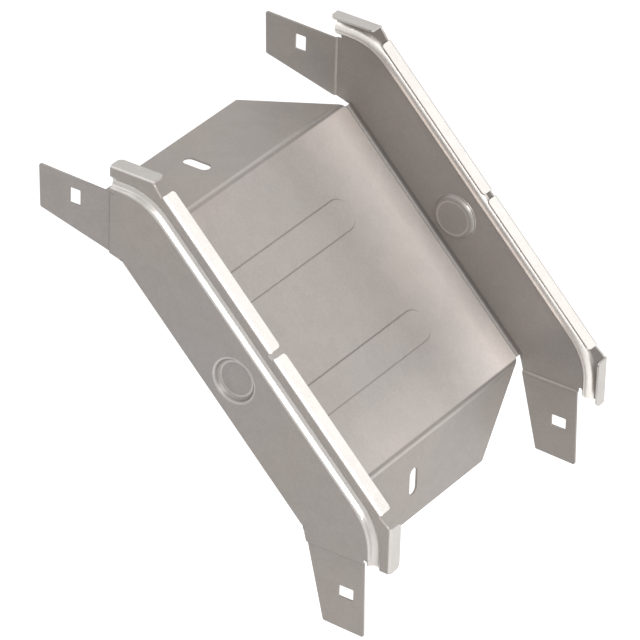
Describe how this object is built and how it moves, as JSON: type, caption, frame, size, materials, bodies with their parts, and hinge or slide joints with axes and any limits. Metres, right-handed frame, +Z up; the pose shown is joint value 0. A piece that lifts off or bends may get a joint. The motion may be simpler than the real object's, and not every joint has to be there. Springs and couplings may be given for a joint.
{
  "type": "cable tray drop-out",
  "caption": "Folded sheet-metal drop-out that leads cables from a level tray down over a sloped floor, with slotted flaps, joggled tabs and beaded, lipped side plates.",
  "frame": {"origin": "middle of the level flap's underside, in line with the joggles of the level tabs, where the end of the level tray's floor comes", "axes": "+X from the level run towards the drop, +Y across the tray, +Z up; the vertical run goes down along -Z"},
  "size_m": [0.2176, 0.2, 0.2176],
  "materials": {
    "galvanised_steel": "satin pre-galvanised sheet"
  },
  "bodies": {
    "root": {"dropout_body": "galvanised_steel"}
  },
  "joints": []
}
